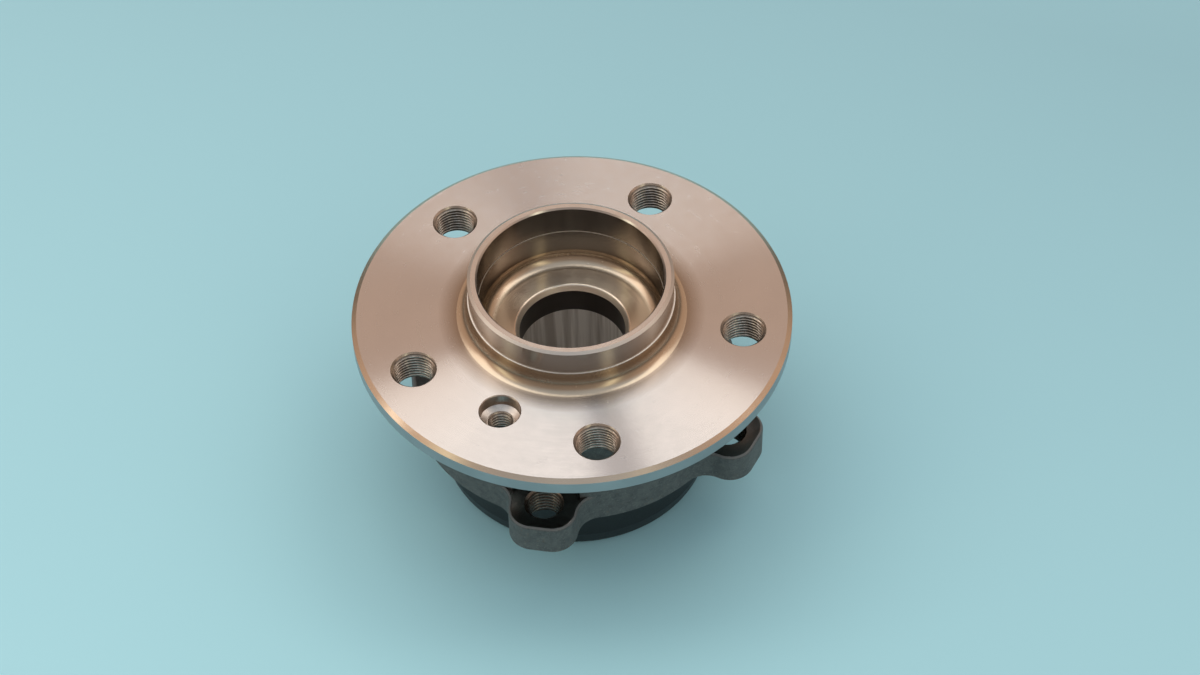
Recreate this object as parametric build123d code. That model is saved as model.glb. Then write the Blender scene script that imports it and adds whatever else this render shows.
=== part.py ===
"""Wheel hub bearing unit: a double-row angular-contact ball bearing with a wheel
flange on its turning hub and a four-lug knuckle flange on its fixed outer ring.

Millimetres. Z is the wheel's axis and points outboard. The origin is the centre of
the wheel-mounting face. Azimuths are measured from +X about +Z, in degrees.
"""
from build123d import *
import os
from math import atan2, cos, degrees, hypot, radians, sin

# ---- wheel flange (part of the hub) ----
WHEEL_PCD = 112.0
WHEEL_BOLTS = 5
FIRST_WHEEL_BOLT_AZ = 36.0
WHEEL_THREAD_R = 7.0             # M14 x 1.25
WHEEL_HOLE_BEVEL = 0.5
FLANGE_R = 71.4
FLANGE_BEVEL_R = 1.56
FLANGE_BEVEL_Z = 1.02
FLANGE_RIM_Z = -5.34             # lower edge of the rim, where the back cone starts
FLANGE_BACK_Z = -11.8
FLANGE_BACK_R = 61.5             # where the back cone ends
FLANGE_BACK_ROUND = 3.0
SEAL_FACE_Z = -12.6              # ground band on the back, run on by the face lips
SEAL_FACE_R = 45.4
SEAL_FACE_STEP_R = 46.2

# ---- locating hole for the brake disc's screw ----
LOCATOR_R = 48.1
LOCATOR_AZ = 216.0
LOCATOR_BORE_R = 6.45
LOCATOR_BORE_DEPTH = 4.3
LOCATOR_CONE_DEPTH = 0.9
LOCATOR_BEVEL = 0.31
LOCATOR_THREAD_R = 4.0           # M8

# ---- pilot that centres the wheel and the brake disc ----
PILOT_TOP_Z = 16.0
WHEEL_PILOT_R = 33.2
PILOT_STEP_Z = 7.0
DISC_PILOT_R = 33.55
PILOT_FOOT_ROUND = 4.5
PILOT_RIM_R = 32.2
PILOT_LEAD_Z = 15.4
RECESS_R = 30.1
RECESS_LAND_R = 30.0
RECESS_STEP_Z = 5.24
RECESS_FLOOR_Z = -8.1
RECESS_ROUND = 4.6
RECESS_MOUTH_BEVEL = 0.5
BORE_R = 17.3
BORE_LIP_R = 18.5
BORE_LIP_Z = -10.0

# ---- ball rows ----
BALL_R = 6.35
PITCH_R = 34.0
CONTACT_DEG = 38.0
BALLS_PER_ROW = 14
OUTBOARD_ROW_Z = -25.0
INBOARD_ROW_Z = -46.0
GROOVE_R = 6.6                   # 52 % of the ball's diameter
RACE_GAP = 0.10                  # kept between each ball and its races
ROW_CENTRE_Z = (OUTBOARD_ROW_Z + INBOARD_ROW_Z) / 2

# ---- hub spindle and inner ring ----
INNER_SHOULDER_R = 31.75         # high side of both inner races, run on by the seals
INNER_LAND_R = 27.7              # low side, between the rows
SHOULDER_FOOT_ROUND = 2.5
SPINDLE_R = 22.5
INNER_RING_END_Z = -57.5
INNER_RING_CORNER = 1.5
FORMED_LIP_R = 28.4
FORMED_LIP_EDGE_Z = -59.2
FORMED_LIP_CREST_R = 24.6
SPINDLE_END_Z = -61.2
SPINDLE_MOUTH_BEVEL = 1.2

# ---- outer ring ----
OUTER_TOP_Z = -13.8
OUTER_BOTTOM_Z = -62.0
OUTER_LAND_R = 36.3              # high side of both outer races, between the rows
OUTER_OPEN_R = 40.2              # low side
SEAL_BORE_R = 41.5
OUTBOARD_SEAL_BORE_Z = -18.4
INBOARD_SEAL_BORE_Z = -52.6
BARREL_R = 46.0
SPIGOT_R = 44.0
SPIGOT_BEVEL = 1.0
BAND_R = 53.8
BAND_TOP_Z = -27.0
BAND_ROUND = 1.6
KNUCKLE_FACE_Z = -41.2
UNDERCUT_R = 46.3                # relief at the spigot's root
UNDERCUT_Z = -40.4
BORE_ALLOWANCE = 2.0             # flange stock left inside the barrel, bored out later

# ---- the four lugs that the knuckle's bolts screw into ----
LUG_SPACING_X = 66.2
LUG_SPACING_Y = 92.0
LUG_THREAD_R = 6.0               # M12 x 1.5
LUG_TIP_R = 67.2
LUG_WIDTH = 22.2
LUG_CORNER_ROUND = 8.0
LUG_NECK_ROUND = 8.0
LUG_TOP_Z = -30.0
LUG_EDGE_ROUND = 1.0
SPOT_FACE_R = 11.6
LUG_HOLE_BEVEL = 0.4

# ---- seals ----
CASE_WALL = 1.0
OUTBOARD_CASE_TOP_Z = -14.2
OUTBOARD_CASE_WEB_Z = -18.2
OUTBOARD_WEB_R = 35.2
INBOARD_CASE_WEB_Z = -52.8
INBOARD_CASE_END_Z = -57.2
INBOARD_WEB_R = 35.0
LIP_GAP = 0.12                   # kept between each lip and the steel it runs on
RUBBER_PAD = 0.9
RUBBER_SKIN = 0.2
FACE_LIP_PITCH = 2.4
FACE_LIP_INSET = 0.8
FACE_LIP_LEAN = 0.5
FACE_LIP_TIP = 0.6
FACE_LIP_ROOT = 1.2
NECK_LIP_ROOT = 0.9
NECK_LIP_TIP = 0.4
NECK_LIP_REACH = 1.2

# ---- slinger and its magnetic ring ----
SLINGER_WALL = 0.6
SLINGER_TOP_Z = -53.8
SLINGER_FLANGE_Z = -58.3
SLINGER_R = 40.3
ENCODER_R = 40.6
ENCODER_BORE_R = 33.4
ENCODER_THICK = 1.0

# ---- cages ----
CAGE_IN_R = 30.7
CAGE_OUT_R = 35.5
CAGE_BACK = 8.3                  # from the balls' centres to the back of the ring
CAGE_TIPS = 2.2                  # from the balls' centres to the tips of the fingers
POCKET_R = 6.47
NOTCH_WIDTH = 0.9
NOTCH_DEPTH = 1.6

# ---- caps ----
DUST_CAP_WALL = 0.8
DUST_CAP_LIP_Z = -60.4
DUST_CAP_END_Z = -64.4
DUST_CAP_ROUND = 2.0
COVER_R = 45.9
COVER_WALL_BORE_R = 44.1
COVER_TOP_Z = -41.6
COVER_TAPER_Z = -60.0
COVER_FOOT_R = 44.4
COVER_END_Z = -66.7
COVER_ROUND = 3.0
COVER_FLOOR = 1.8
COVER_INNER_TAPER_Z = -62.2
COVER_INNER_FOOT_R = 42.6


def turned(points, rounds=None):
    """Turn a closed (radius, z) outline about Z. rounds maps an outline corner to its radius."""
    face = make_face(Polyline(*[(r, z) for r, z in points], close=True))
    for (corner_r, corner_z), size in (rounds or {}).items():
        corner = face.vertices().sort_by_distance((corner_r, corner_z, 0))[0]
        face = fillet(corner, size)
    upright = Plane.XZ * face
    return revolve(upright, Axis.Z, 360)


def upright_cylinder(radius, low_z, high_z):
    """A cylinder about Z between two heights."""
    middle = (low_z + high_z) / 2
    return Pos(0, 0, middle) * Cylinder(radius, high_z - low_z)


def bevelled_hole(radius, low_z, high_z, bevel):
    """The tool for a through hole with a bevel at both ends."""
    tool = upright_cylinder(radius, low_z - 1, high_z + 1)
    wide = radius + bevel
    tool += Pos(0, 0, high_z - bevel / 2) * Cone(radius, wide, bevel)
    tool += Pos(0, 0, low_z + bevel / 2) * Cone(wide, radius, bevel)
    return tool


def groove(row_z, towards_centre, outer):
    """The torus that grinds one race: row_z is the balls' height, towards_centre is -1 or 1."""
    offset = GROOVE_R - BALL_R - RACE_GAP
    side = -1 if outer else 1
    centre_r = PITCH_R + side * offset * cos(radians(CONTACT_DEG))
    centre_z = row_z + side * towards_centre * offset * sin(radians(CONTACT_DEG))
    return Pos(0, 0, centre_z) * Torus(centre_r, GROOVE_R)


def at_polar(radius, azimuth, solid):
    """Place a solid at a radius and an azimuth in degrees."""
    return Rot(0, 0, azimuth) * Pos(radius, 0, 0) * solid


def hub_flange():
    """Wheel flange, pilot and spindle: one forging, with the outboard inner race ground in it."""
    mouth_z = PILOT_TOP_Z - RECESS_MOUTH_BEVEL
    outline = [
        (BORE_R, SPINDLE_END_Z + SPINDLE_MOUTH_BEVEL),
        (BORE_R, BORE_LIP_Z),
        (BORE_LIP_R, RECESS_FLOOR_Z),
        (RECESS_LAND_R, RECESS_FLOOR_Z),
        (RECESS_LAND_R, RECESS_STEP_Z),
        (RECESS_R, RECESS_STEP_Z),
        (RECESS_R, mouth_z),
        (RECESS_R + RECESS_MOUTH_BEVEL, PILOT_TOP_Z),
        (PILOT_RIM_R, PILOT_TOP_Z),
        (WHEEL_PILOT_R, PILOT_LEAD_Z),
        (WHEEL_PILOT_R, PILOT_STEP_Z),
        (DISC_PILOT_R, PILOT_STEP_Z),
        (DISC_PILOT_R, 0),
        (FLANGE_R - FLANGE_BEVEL_R, 0),
        (FLANGE_R, -FLANGE_BEVEL_Z),
        (FLANGE_R, FLANGE_RIM_Z),
        (FLANGE_BACK_R, FLANGE_BACK_Z),
        (SEAL_FACE_STEP_R, FLANGE_BACK_Z),
        (SEAL_FACE_R, SEAL_FACE_Z),
        (INNER_SHOULDER_R, SEAL_FACE_Z),
        (INNER_SHOULDER_R, OUTBOARD_ROW_Z),
        (INNER_LAND_R, OUTBOARD_ROW_Z),
        (INNER_LAND_R, ROW_CENTRE_Z),
        (SPINDLE_R, ROW_CENTRE_Z),
        (SPINDLE_R, INNER_RING_END_Z + INNER_RING_CORNER),
        (SPINDLE_R + INNER_RING_CORNER, INNER_RING_END_Z),
        (FORMED_LIP_R, INNER_RING_END_Z),
        (FORMED_LIP_R, FORMED_LIP_EDGE_Z),
        (FORMED_LIP_CREST_R, SPINDLE_END_Z),
        (BORE_R + SPINDLE_MOUTH_BEVEL, SPINDLE_END_Z),
    ]
    rounds = {
        (RECESS_LAND_R, RECESS_FLOOR_Z): RECESS_ROUND,
        (DISC_PILOT_R, 0): PILOT_FOOT_ROUND,
        (INNER_SHOULDER_R, SEAL_FACE_Z): SHOULDER_FOOT_ROUND,
        (FLANGE_BACK_R, FLANGE_BACK_Z): FLANGE_BACK_ROUND,
    }
    hub = turned(outline, rounds) - groove(OUTBOARD_ROW_Z, -1, outer=False)
    bolt_hole = bevelled_hole(WHEEL_THREAD_R, FLANGE_BACK_Z, 0, WHEEL_HOLE_BEVEL)
    for index in range(WHEEL_BOLTS):
        azimuth = FIRST_WHEEL_BOLT_AZ + index * 360 / WHEEL_BOLTS
        hub -= at_polar(WHEEL_PCD / 2, azimuth, bolt_hole)
    return hub - at_polar(LOCATOR_R, LOCATOR_AZ, locating_hole())


def locating_hole():
    """The tool for the counterbored, threaded hole that takes the brake disc's screw."""
    tool = upright_cylinder(LOCATOR_THREAD_R, FLANGE_BACK_Z - 1, 1)
    tool += upright_cylinder(LOCATOR_BORE_R, -LOCATOR_BORE_DEPTH, 1)
    wide = LOCATOR_BORE_R + LOCATOR_BEVEL
    tool += Pos(0, 0, -LOCATOR_BEVEL / 2) * Cone(LOCATOR_BORE_R, wide, LOCATOR_BEVEL)
    cone_z = -LOCATOR_BORE_DEPTH - LOCATOR_CONE_DEPTH / 2
    tool += Pos(0, 0, cone_z) * Cone(LOCATOR_THREAD_R, LOCATOR_BORE_R, LOCATOR_CONE_DEPTH)
    return tool


def inboard_inner_ring():
    """Separate ring with the inboard inner race, held on the spindle by the formed lip."""
    outline = [
        (SPINDLE_R, ROW_CENTRE_Z),
        (INNER_LAND_R, ROW_CENTRE_Z),
        (INNER_LAND_R, INBOARD_ROW_Z),
        (INNER_SHOULDER_R, INBOARD_ROW_Z),
        (INNER_SHOULDER_R, INNER_RING_END_Z),
        (SPINDLE_R + INNER_RING_CORNER, INNER_RING_END_Z),
        (SPINDLE_R, INNER_RING_END_Z + INNER_RING_CORNER),
    ]
    return turned(outline) - groove(INBOARD_ROW_Z, 1, outer=False)


def lug_centre():
    """Radius and first-quadrant azimuth of a lug's hole."""
    half_x = LUG_SPACING_X / 2
    half_y = LUG_SPACING_Y / 2
    return hypot(half_x, half_y), degrees(atan2(half_y, half_x))


def lug_azimuths():
    """The four lugs' azimuths."""
    first = lug_centre()[1]
    return [first, 180 - first, 180 + first, 360 - first]


def knuckle_flange_outline():
    """Plan of the fixed flange: a round band with four blended lugs."""
    plan = Circle(BAND_R)
    lug_length = LUG_TIP_R - BARREL_R
    lug_middle = (LUG_TIP_R + BARREL_R) / 2
    for azimuth in lug_azimuths():
        plan += Rot(0, 0, azimuth) * Pos(lug_middle, 0) * Rectangle(lug_length, LUG_WIDTH)
    corner_r = hypot(LUG_TIP_R, LUG_WIDTH / 2)
    corners = [v for v in plan.vertices() if abs(hypot(v.X, v.Y) - corner_r) < 0.01]
    plan = fillet(corners, LUG_CORNER_ROUND)
    necks = [v for v in plan.vertices() if abs(hypot(v.X, v.Y) - BAND_R) < 0.01]
    return fillet(necks, LUG_NECK_ROUND)


def knuckle_flange():
    """Band and lugs, with the rounded top edges of a forging and a spot face at each lug."""
    plan = knuckle_flange_outline()
    slab = Pos(0, 0, KNUCKLE_FACE_Z) * extrude(plan, LUG_TOP_Z - KNUCKLE_FACE_Z)
    top_edges = slab.edges().filter_by_position(Axis.Z, LUG_TOP_Z - 0.01, LUG_TOP_Z + 0.01)
    slab = fillet(top_edges, LUG_EDGE_ROUND)
    band = turned(
        [
            (OUTER_LAND_R + BORE_ALLOWANCE, KNUCKLE_FACE_Z),
            (BAND_R, KNUCKLE_FACE_Z),
            (BAND_R, BAND_TOP_Z),
            (OUTER_LAND_R + BORE_ALLOWANCE, BAND_TOP_Z),
        ],
        {(BAND_R, BAND_TOP_Z): BAND_ROUND},
    )
    return slab, band


def outer_ring():
    """Fixed ring: both outer races, the knuckle flange and the spigot that enters the knuckle."""
    slab, band = knuckle_flange()
    radius, _ = lug_centre()
    body = turned(
        [
            (OUTER_LAND_R, OUTER_BOTTOM_Z),
            (SPIGOT_R - SPIGOT_BEVEL, OUTER_BOTTOM_Z),
            (SPIGOT_R, OUTER_BOTTOM_Z + SPIGOT_BEVEL),
            (SPIGOT_R, KNUCKLE_FACE_Z),
            (BARREL_R, KNUCKLE_FACE_Z),
            (BARREL_R, OUTER_TOP_Z - SPIGOT_BEVEL),
            (BARREL_R - SPIGOT_BEVEL, OUTER_TOP_Z),
            (OUTER_LAND_R, OUTER_TOP_Z),
        ]
    )
    spot_face = upright_cylinder(SPOT_FACE_R, LUG_TOP_Z, BAND_TOP_Z + 1)
    for azimuth in lug_azimuths():
        band -= at_polar(radius, azimuth, spot_face)
    ring = body + band + slab
    bore = turned(
        [
            (0, OUTER_BOTTOM_Z - 1),
            (SEAL_BORE_R, OUTER_BOTTOM_Z - 1),
            (SEAL_BORE_R, INBOARD_SEAL_BORE_Z),
            (OUTER_OPEN_R, INBOARD_SEAL_BORE_Z),
            (OUTER_OPEN_R, INBOARD_ROW_Z),
            (OUTER_LAND_R, INBOARD_ROW_Z),
            (OUTER_LAND_R, OUTBOARD_ROW_Z),
            (OUTER_OPEN_R, OUTBOARD_ROW_Z),
            (OUTER_OPEN_R, OUTBOARD_SEAL_BORE_Z),
            (SEAL_BORE_R, OUTBOARD_SEAL_BORE_Z),
            (SEAL_BORE_R, OUTER_TOP_Z + 1),
            (0, OUTER_TOP_Z + 1),
        ]
    )
    ring -= bore
    ring -= groove(OUTBOARD_ROW_Z, -1, outer=True)
    ring -= groove(INBOARD_ROW_Z, 1, outer=True)
    ring -= spigot_undercut()
    lug_hole = bevelled_hole(LUG_THREAD_R, KNUCKLE_FACE_Z, LUG_TOP_Z, LUG_HOLE_BEVEL)
    for azimuth in lug_azimuths():
        ring -= at_polar(radius, azimuth, lug_hole)
    return ring


def spigot_undercut():
    """The relief ground beside the spigot's root, so that the knuckle face seats flat."""
    low_z = KNUCKLE_FACE_Z - SPIGOT_BEVEL
    return turned(
        [(SPIGOT_R, low_z), (UNDERCUT_R, low_z), (UNDERCUT_R, UNDERCUT_Z), (SPIGOT_R, UNDERCUT_Z)]
    )


def ball_azimuth(index):
    """Azimuth of one ball of a row, in degrees."""
    return index * 360 / BALLS_PER_ROW


def ball(row_z, index):
    """One steel ball, standing clear of both races."""
    return at_polar(PITCH_R, ball_azimuth(index), Pos(0, 0, row_z) * Sphere(BALL_R))


def cage(row_z, towards_centre):
    """Crown cage: a moulded ring behind the balls, with fingers that reach between them."""
    back_z = row_z + towards_centre * CAGE_BACK
    tips_z = row_z - towards_centre * CAGE_TIPS
    crown = turned(
        [(CAGE_IN_R, back_z), (CAGE_OUT_R, back_z), (CAGE_OUT_R, tips_z), (CAGE_IN_R, tips_z)]
    )
    pocket = Pos(0, 0, row_z) * Sphere(POCKET_R)
    notch_z = tips_z + towards_centre * NOTCH_DEPTH / 2
    notch = Pos(0, 0, notch_z) * Box(4 * BALL_R, NOTCH_WIDTH, NOTCH_DEPTH)
    for index in range(BALLS_PER_ROW):
        crown -= at_polar(PITCH_R, ball_azimuth(index), pocket)
        crown -= at_polar(PITCH_R, ball_azimuth(index + 0.5), notch)
    return crown


def outboard_seal_case():
    """Pressed steel carrier of the outboard seal, in the outer ring's bore."""
    inner_r = SEAL_BORE_R - CASE_WALL
    web_top_z = OUTBOARD_CASE_WEB_Z + CASE_WALL
    return turned(
        [
            (SEAL_BORE_R, OUTBOARD_CASE_TOP_Z),
            (SEAL_BORE_R, OUTBOARD_CASE_WEB_Z),
            (OUTBOARD_WEB_R, OUTBOARD_CASE_WEB_Z),
            (OUTBOARD_WEB_R, web_top_z),
            (inner_r, web_top_z),
            (inner_r, OUTBOARD_CASE_TOP_Z),
        ]
    )


def face_lip(root_r, root_z, tip_z):
    """One slanted lip of a seal, from its outer root over its tip to its inner root."""
    tip_r = root_r + FACE_LIP_LEAN
    return [
        (root_r, root_z),
        (tip_r, tip_z),
        (tip_r - FACE_LIP_TIP, tip_z),
        (root_r - FACE_LIP_ROOT, root_z),
    ]


def outboard_seal_lips():
    """Rubber on the outboard carrier: two face lips on the flange and one on the hub's shoulder."""
    web_top_z = OUTBOARD_CASE_WEB_Z + CASE_WALL
    pad_top_z = web_top_z + RUBBER_PAD
    pad_r = SEAL_BORE_R - CASE_WALL
    face_z = SEAL_FACE_Z - LIP_GAP
    neck_r = INNER_SHOULDER_R + LIP_GAP
    skin_z = OUTBOARD_CASE_WEB_Z + RUBBER_SKIN
    outline = [(pad_r, web_top_z), (pad_r, pad_top_z)]
    outline += face_lip(pad_r - FACE_LIP_INSET, pad_top_z, face_z)
    outline += face_lip(pad_r - FACE_LIP_INSET - FACE_LIP_PITCH, pad_top_z, face_z)
    outline += [
        (OUTBOARD_WEB_R - NECK_LIP_ROOT, pad_top_z),
        (neck_r, OUTBOARD_CASE_WEB_Z + NECK_LIP_TIP),
        (neck_r, OUTBOARD_CASE_WEB_Z),
        (neck_r + NECK_LIP_TIP, OUTBOARD_CASE_WEB_Z),
        (OUTBOARD_WEB_R - NECK_LIP_ROOT, skin_z),
        (OUTBOARD_WEB_R, skin_z),
        (OUTBOARD_WEB_R, web_top_z),
    ]
    return turned(outline)


def inboard_seal_case():
    """Pressed steel carrier of the inboard cassette seal."""
    inner_r = SEAL_BORE_R - CASE_WALL
    web_end_z = INBOARD_CASE_WEB_Z - CASE_WALL
    return turned(
        [
            (SEAL_BORE_R, INBOARD_CASE_WEB_Z),
            (INBOARD_WEB_R, INBOARD_CASE_WEB_Z),
            (INBOARD_WEB_R, web_end_z),
            (inner_r, web_end_z),
            (inner_r, INBOARD_CASE_END_Z),
            (SEAL_BORE_R, INBOARD_CASE_END_Z),
        ]
    )


def inboard_seal_lips():
    """Rubber on the inboard carrier, with lips on the slinger's flange and sleeve."""
    web_end_z = INBOARD_CASE_WEB_Z - CASE_WALL
    pad_end_z = web_end_z - RUBBER_PAD
    pad_r = SEAL_BORE_R - CASE_WALL
    face_z = SLINGER_FLANGE_Z + LIP_GAP
    sleeve_r = INNER_SHOULDER_R + SLINGER_WALL + LIP_GAP
    skin_z = INBOARD_CASE_WEB_Z - RUBBER_SKIN
    tip_z = pad_end_z - NECK_LIP_REACH
    outline = [(pad_r, web_end_z), (pad_r, pad_end_z)]
    outline += face_lip(pad_r - 2 * FACE_LIP_INSET, pad_end_z, face_z)
    outline += [
        (INBOARD_WEB_R - NECK_LIP_ROOT, pad_end_z),
        (sleeve_r, tip_z),
        (sleeve_r, tip_z + NECK_LIP_TIP),
        (INBOARD_WEB_R - NECK_LIP_ROOT, skin_z),
        (INBOARD_WEB_R, skin_z),
        (INBOARD_WEB_R, web_end_z),
    ]
    return turned(outline)


def slinger():
    """Stainless angle ring pressed on the inner ring's shoulder; the inboard lips run on it."""
    sleeve_r = INNER_SHOULDER_R + SLINGER_WALL
    back_z = SLINGER_FLANGE_Z - SLINGER_WALL
    return turned(
        [
            (INNER_SHOULDER_R, SLINGER_TOP_Z),
            (sleeve_r, SLINGER_TOP_Z),
            (sleeve_r, SLINGER_FLANGE_Z),
            (SLINGER_R, SLINGER_FLANGE_Z),
            (SLINGER_R, back_z),
            (INNER_SHOULDER_R, back_z),
        ]
    )


def encoder_ring():
    """Magnetised rubber ring bonded to the slinger, read by the wheel-speed sensor."""
    top_z = SLINGER_FLANGE_Z - SLINGER_WALL
    end_z = top_z - ENCODER_THICK
    return turned(
        [
            (ENCODER_BORE_R, top_z),
            (SLINGER_R, top_z),
            (SLINGER_R, SLINGER_FLANGE_Z),
            (ENCODER_R, SLINGER_FLANGE_Z),
            (ENCODER_R, end_z),
            (ENCODER_BORE_R, end_z),
        ]
    )


def dust_cap():
    """Drawn steel cap pressed into the inboard end; it closes the bearing."""
    inner_r = SEAL_BORE_R - DUST_CAP_WALL
    floor_z = DUST_CAP_END_Z + DUST_CAP_WALL
    return turned(
        [
            (0, DUST_CAP_END_Z),
            (SEAL_BORE_R, DUST_CAP_END_Z),
            (SEAL_BORE_R, DUST_CAP_LIP_Z),
            (inner_r, DUST_CAP_LIP_Z),
            (inner_r, floor_z),
            (0, floor_z),
        ],
        {
            (SEAL_BORE_R, DUST_CAP_END_Z): DUST_CAP_ROUND,
            (inner_r, floor_z): DUST_CAP_ROUND - DUST_CAP_WALL,
        },
    )


def protective_cover():
    """Plastic cup pushed over the spigot; it comes off before the unit is fitted."""
    floor_z = COVER_END_Z + COVER_FLOOR
    return turned(
        [
            (0, COVER_END_Z),
            (COVER_FOOT_R, COVER_END_Z),
            (COVER_R, COVER_TAPER_Z),
            (COVER_R, COVER_TOP_Z),
            (COVER_WALL_BORE_R, COVER_TOP_Z),
            (COVER_WALL_BORE_R, COVER_INNER_TAPER_Z),
            (COVER_INNER_FOOT_R, floor_z),
            (0, floor_z),
        ],
        {(COVER_FOOT_R, COVER_END_Z): COVER_ROUND},
    )


def all_parts():
    """Every piece of the unit, by node name."""
    parts = {
        "hub_flange": hub_flange(),
        "inboard_inner_ring": inboard_inner_ring(),
        "outer_ring": outer_ring(),
        "outboard_cage": cage(OUTBOARD_ROW_Z, -1),
        "inboard_cage": cage(INBOARD_ROW_Z, 1),
        "outboard_seal_case": outboard_seal_case(),
        "outboard_seal_lips": outboard_seal_lips(),
        "inboard_seal_case": inboard_seal_case(),
        "inboard_seal_lips": inboard_seal_lips(),
        "slinger": slinger(),
        "encoder_ring": encoder_ring(),
        "dust_cap": dust_cap(),
        "protective_cover": protective_cover(),
    }
    for row, row_z in (("outboard", OUTBOARD_ROW_Z), ("inboard", INBOARD_ROW_Z)):
        for index in range(BALLS_PER_ROW):
            parts[f"{row}_ball_{index + 1:02d}"] = ball(row_z, index)
    return parts


os.makedirs("parts", exist_ok=True)
for name, solid in all_parts().items():
    export_step(solid, f"parts/{name}.step")
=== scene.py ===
"""Looks of the wheel hub bearing: finish of every surface, cut threads, floor, light and camera.

Lengths are written in millimetres and turned into metres where a mesh is made.
The frame is the CAD's: origin at the centre of the wheel face, +Z outboard.
"""

from math import ceil, cos, hypot, pi, radians, sin, tan

import bmesh
import bpy
from mathutils import Matrix, Vector


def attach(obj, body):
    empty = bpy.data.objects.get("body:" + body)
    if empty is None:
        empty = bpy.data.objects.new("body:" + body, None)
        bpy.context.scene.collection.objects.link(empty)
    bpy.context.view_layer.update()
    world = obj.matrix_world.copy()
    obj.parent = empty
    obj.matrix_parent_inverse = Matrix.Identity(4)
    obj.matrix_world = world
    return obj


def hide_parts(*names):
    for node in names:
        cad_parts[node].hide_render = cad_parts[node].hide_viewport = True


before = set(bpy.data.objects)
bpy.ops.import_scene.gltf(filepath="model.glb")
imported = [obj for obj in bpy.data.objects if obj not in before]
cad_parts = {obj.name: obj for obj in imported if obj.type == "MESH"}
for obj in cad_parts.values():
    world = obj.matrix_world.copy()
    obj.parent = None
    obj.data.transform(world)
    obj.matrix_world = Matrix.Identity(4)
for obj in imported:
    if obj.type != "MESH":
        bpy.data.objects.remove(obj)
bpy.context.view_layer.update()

MM = 0.001
SEGMENTS = 288                # faces round the hub
HOLE_SEGMENTS = 96            # faces round a drilled hole

# ---- hub: the same driving sizes as the solid ----
FLANGE_R = 71.4
FLANGE_BEVEL_R = 1.56
FLANGE_BEVEL_Z = 1.02
FLANGE_RIM_Z = -5.34
FLANGE_BACK_Z = -11.8
FLANGE_BACK_R = 61.5
FLANGE_BACK_ROUND = 3.0
SEAL_FACE_Z = -12.6
SEAL_FACE_R = 45.4
SEAL_FACE_STEP_R = 46.2
PILOT_TOP_Z = 16.0
WHEEL_PILOT_R = 33.2
PILOT_STEP_Z = 7.0
DISC_PILOT_R = 33.55
PILOT_FOOT_ROUND = 4.5
PILOT_RIM_R = 32.2
PILOT_LEAD_Z = 15.4
RECESS_R = 30.1
RECESS_LAND_R = 30.0
RECESS_STEP_Z = 5.24
RECESS_STEP_SLOPE = 0.16      # half the height over which the recess's small step slopes
PILOT_STEP_SLOPE = 0.08       # height over which the pilot's step slopes
RECESS_FLOOR_Z = -8.1
RECESS_ROUND = 4.6
RECESS_MOUTH_BEVEL = 0.5
BORE_R = 17.3
BORE_LIP_R = 18.5
BORE_LIP_Z = -10.0
LIP_ROUND = 0.9
BORE_MOUTH_LOW_Z = -19.0
INNER_SHOULDER_R = 31.75
SHOULDER_FOOT_ROUND = 2.5
INNER_LAND_R = 27.7
SPINDLE_R = 22.5
ROW_CENTRE_Z = -35.5
RACE_TOP_Z = -18.9
RACE_R = 6.6
RACE_CENTRE_R = 34.12         # centre of the race's arc, just past the ball's centre
RACE_CENTRE_Z = -25.09
RACE_START_DEG = 111.0        # where the arc starts and how far it turns, in the half section
RACE_TURN_DEG = 69.0
RACE_STEPS = 12
INNER_RING_END_Z = -57.5
INNER_RING_CORNER = 1.5
FORMED_LIP_R = 28.4
FORMED_LIP_EDGE_Z = -59.2
FORMED_LIP_CREST_R = 24.6
SPINDLE_END_Z = -61.2
SPINDLE_MOUTH_BEVEL = 1.2
SUPPORT = 0.2                 # spacing of the loops that hold a flat face flat next to a round
FACE_START_R = DISC_PILOT_R + 3.9   # inner edge of the turned face's own finish
FOOT_END_R = DISC_PILOT_R + 5.0     # outer edge of the finish of the pilot's foot
SLACK = 0.1                   # how far a face's centre may lie outside the band that it belongs to
HAIR = 0.01                   # keeps a flat face out of the band that starts at its height
FLAT_SLOPE = 0.97             # least height of a unit normal on a level face

# ---- threads ----
WHEEL_PCD = 112.0
WHEEL_BOLTS = 5
FIRST_WHEEL_BOLT_AZ = 36.0
LOCATOR_R = 48.1
LOCATOR_AZ = 216.0
LOCATOR_BORE_R = 6.45
LOCATOR_BORE_DEPTH = 4.3
LOCATOR_CONE_DEPTH = 0.9
LOCATOR_BEVEL = 0.31
LUG_SPACING_X = 66.2
LUG_SPACING_Y = 92.0
LUG_TOP_Z = -30.0
SPOT_FACE_R = 11.6
KNUCKLE_FACE_Z = -41.2
OVERCUT = 1.0                 # how far a drill runs past the metal
SLEEVE_WALL = 0.45            # how deep a thread's sleeve reaches into the metal around it
SLEEVE_SKIN = 0.02            # the least that is left of that wall
THREAD_AROUND = 72            # points in a turn and rows in a pitch
THREAD_ROWS = 12
THREAD_CREST = 0.22           # flat crest and flat root, as parts of a pitch
THREAD_ROOT = 0.12
CREST_PAINT = 0.3             # part of the thread's depth that is painted as crest
BEVEL_PAINT = 0.06            # and how far round the bevels
# each thread: major radius, minor radius, pitch, radius of the bevel at its top and at its foot
WHEEL_THREAD = (7.0, 6.28, 1.25, 7.43, 7.3)
SCREW_THREAD = (4.0, 3.35, 1.25, 4.1, 4.1)
KNUCKLE_THREAD = (5.96, 5.25, 1.5, 6.35, 6.35)

# ---- camera: fitted to the ellipses of the flange, pilot and bolt holes ----
CAMERA_AT = (-247.4, -540.8, 658.6)
CAMERA_RIGHT = (0.8952, -0.4453, -0.0154)
CAMERA_UP = (0.3428, 0.6663, 0.6621)
CAMERA_BACK = (-0.2845, -0.5981, 0.7492)
LENS_MM = 82.2
SENSOR_MM = 36.0
FLOOR_Z = -66.7

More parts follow.
